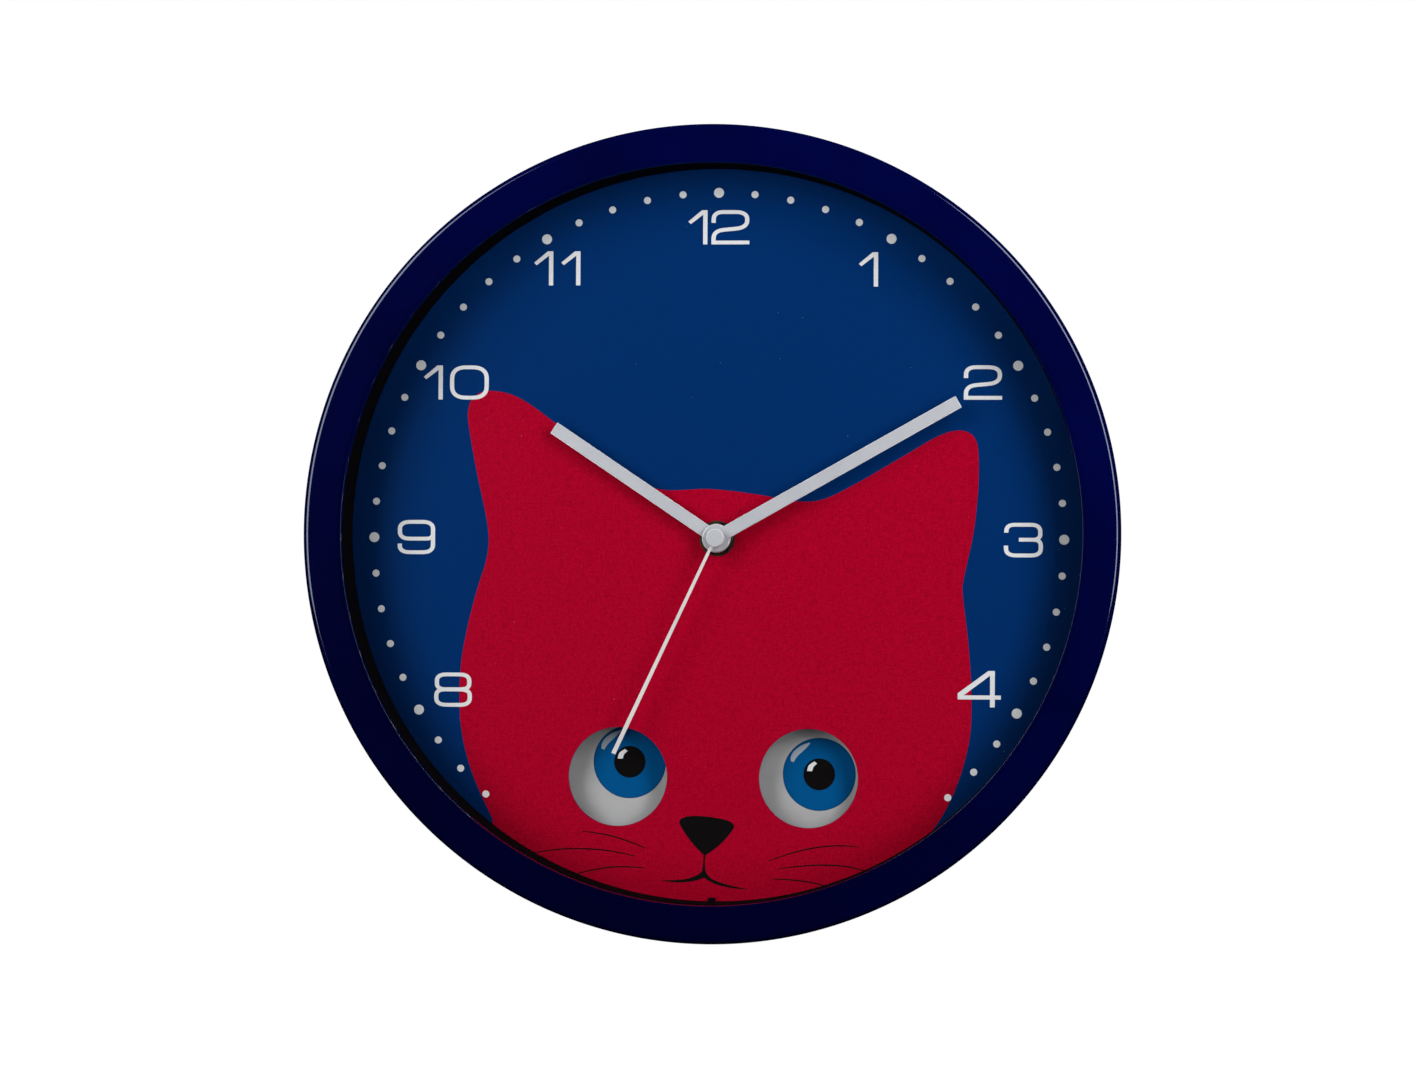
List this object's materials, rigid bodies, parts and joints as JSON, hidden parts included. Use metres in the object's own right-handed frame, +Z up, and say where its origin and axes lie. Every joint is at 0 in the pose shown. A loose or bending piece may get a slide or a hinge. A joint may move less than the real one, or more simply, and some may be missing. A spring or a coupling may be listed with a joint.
{
  "type": "wall clock",
  "caption": "Round battery wall clock with a printed cat-face dial, three hands, and eyes on a plate that swings behind two holes in the dial.",
  "frame": {"origin": "mouth of the keyhole in the back, in the plane that lies on the wall", "axes": "+Y into the wall, +Z up towards 12 o'clock, +X to the right of someone facing the dial"},
  "size_m": [0.3, 0.05, 0.3],
  "materials": {
    "navy_case": "glossy moulded navy ABS",
    "clear_lens": "clear flat pane",
    "black_plastic": "fine satin black moulding",
    "rubber": "soft black",
    "printed_dial": "matte printed sheet, red cat face on blue",
    "white_plastic": "matte white sheet with printed irises",
    "dark_steel": "blackened",
    "bronze": "darkened bronze",
    "brass": "turned",
    "movement_plastic": "moulded charcoal",
    "hand_paint": "light grey paint on aluminium",
    "gear_plastic": "natural acetal",
    "knob_plastic": "moulded light grey",
    "steel": "bright zinc",
    "copper": "enamelled copper wire",
    "board": "green circuit board",
    "cell_wrap": "wrapped dry cell, density near that of a real one"
  },
  "bodies": {
    "case": {"case_ring": "navy_case", "lens_gasket": "rubber", "lens": "clear_lens", "spacer_ring": "black_plastic", "support_ring": "black_plastic", "back_pan": "black_plastic", "pan_screws": "steel", "dial": "printed_dial", "pendulum_pivot": "steel", "pendulum_housing": "movement_plastic", "pendulum_cover": "movement_plastic", "pendulum_coil": "copper", "pendulum_screws": "steel", "movement_case": "movement_plastic", "threaded_bushing": "brass", "rubber_washer": "rubber", "brass_washer": "bronze", "hand_nut": "dark_steel", "movement_cover": "movement_plastic", "cover_screws": "steel", "train_bridge": "gear_plastic", "stator": "steel", "coil_core": "steel", "motor_coil": "copper", "circuit_board": "board", "quartz_crystal": "steel", "positive_contact": "brass", "negative_contact": "brass"},
    "eyes": {"eye_plate": "white_plastic", "eye_clip": "steel", "pendulum_lever": "gear_plastic", "pendulum_magnet": "steel"},
    "seconds": {"second_hand": "hand_paint", "second_cap": "hand_paint", "seconds_wheel": "gear_plastic"},
    "motor_rotor": {"rotor": "gear_plastic", "rotor_magnet": "steel"},
    "fifth": {"fifth_wheel": "gear_plastic"},
    "third": {"third_wheel": "gear_plastic"},
    "centre": {"centre_wheel": "gear_plastic"},
    "minutes": {"minute_hand": "hand_paint", "minute_arbor": "gear_plastic"},
    "setting": {"minute_wheel": "gear_plastic", "setting_knob": "knob_plastic"},
    "hours": {"hour_hand": "hand_paint", "hour_wheel": "gear_plastic"},
    "cell": {"battery": "cell_wrap"}
  },
  "joints": [
    {"name": "second_hand_turn", "type": "hinge", "parent": "case", "child": "seconds", "pos_m": [0.00074, -0.015, -0.10637], "axis": [0, 1, 0], "continuous": true},
    {"name": "rotor_turn", "type": "hinge", "parent": "case", "child": "motor_rotor", "pos_m": [-0.00831, -0.015, -0.09069], "axis": [0, 1, 0], "continuous": true},
    {"name": "fifth_wheel_turn", "type": "hinge", "parent": "case", "child": "fifth", "pos_m": [-0.00453, -0.015, -0.09723], "axis": [0, 1, 0], "continuous": true},
    {"name": "third_wheel_turn", "type": "hinge", "parent": "case", "child": "third", "pos_m": [0.01112, -0.015, -0.10259], "axis": [0, 1, 0], "continuous": true},
    {"name": "centre_wheel_turn", "type": "hinge", "parent": "case", "child": "centre", "pos_m": [0.00074, -0.015, -0.10637], "axis": [0, 1, 0], "continuous": true},
    {"name": "minute_hand_turn", "type": "hinge", "parent": "case", "child": "minutes", "pos_m": [0.00074, -0.015, -0.10637], "axis": [0, 1, 0], "continuous": true},
    {"name": "setting_knob_turn", "type": "hinge", "parent": "case", "child": "setting", "pos_m": [-0.01131, -0.015, -0.10637], "axis": [0, 1, 0], "continuous": true},
    {"name": "hour_hand_turn", "type": "hinge", "parent": "case", "child": "hours", "pos_m": [0.00074, -0.015, -0.10637], "axis": [0, 1, 0], "continuous": true},
    {"name": "eye_swing", "type": "hinge", "parent": "case", "child": "eyes", "pos_m": [0.00074, -0.015, -0.07137], "axis": [0, 1, 0], "range_deg": [0, 4]},
    {"name": "battery_out", "type": "slide", "parent": "case", "child": "cell", "axis": [0, 1, 0], "range_m": [0, 0.03]}
  ],
  "couplings": [
    {"joint": "rotor_turn", "follows": "second_hand_turn", "ratio": 30},
    {"joint": "fifth_wheel_turn", "follows": "second_hand_turn", "ratio": -6},
    {"joint": "third_wheel_turn", "follows": "second_hand_turn", "ratio": -0.13333},
    {"joint": "centre_wheel_turn", "follows": "second_hand_turn", "ratio": 0.016667},
    {"joint": "setting_knob_turn", "follows": "minute_hand_turn", "ratio": -0.33333},
    {"joint": "hour_hand_turn", "follows": "minute_hand_turn", "ratio": 0.083333}
  ]
}
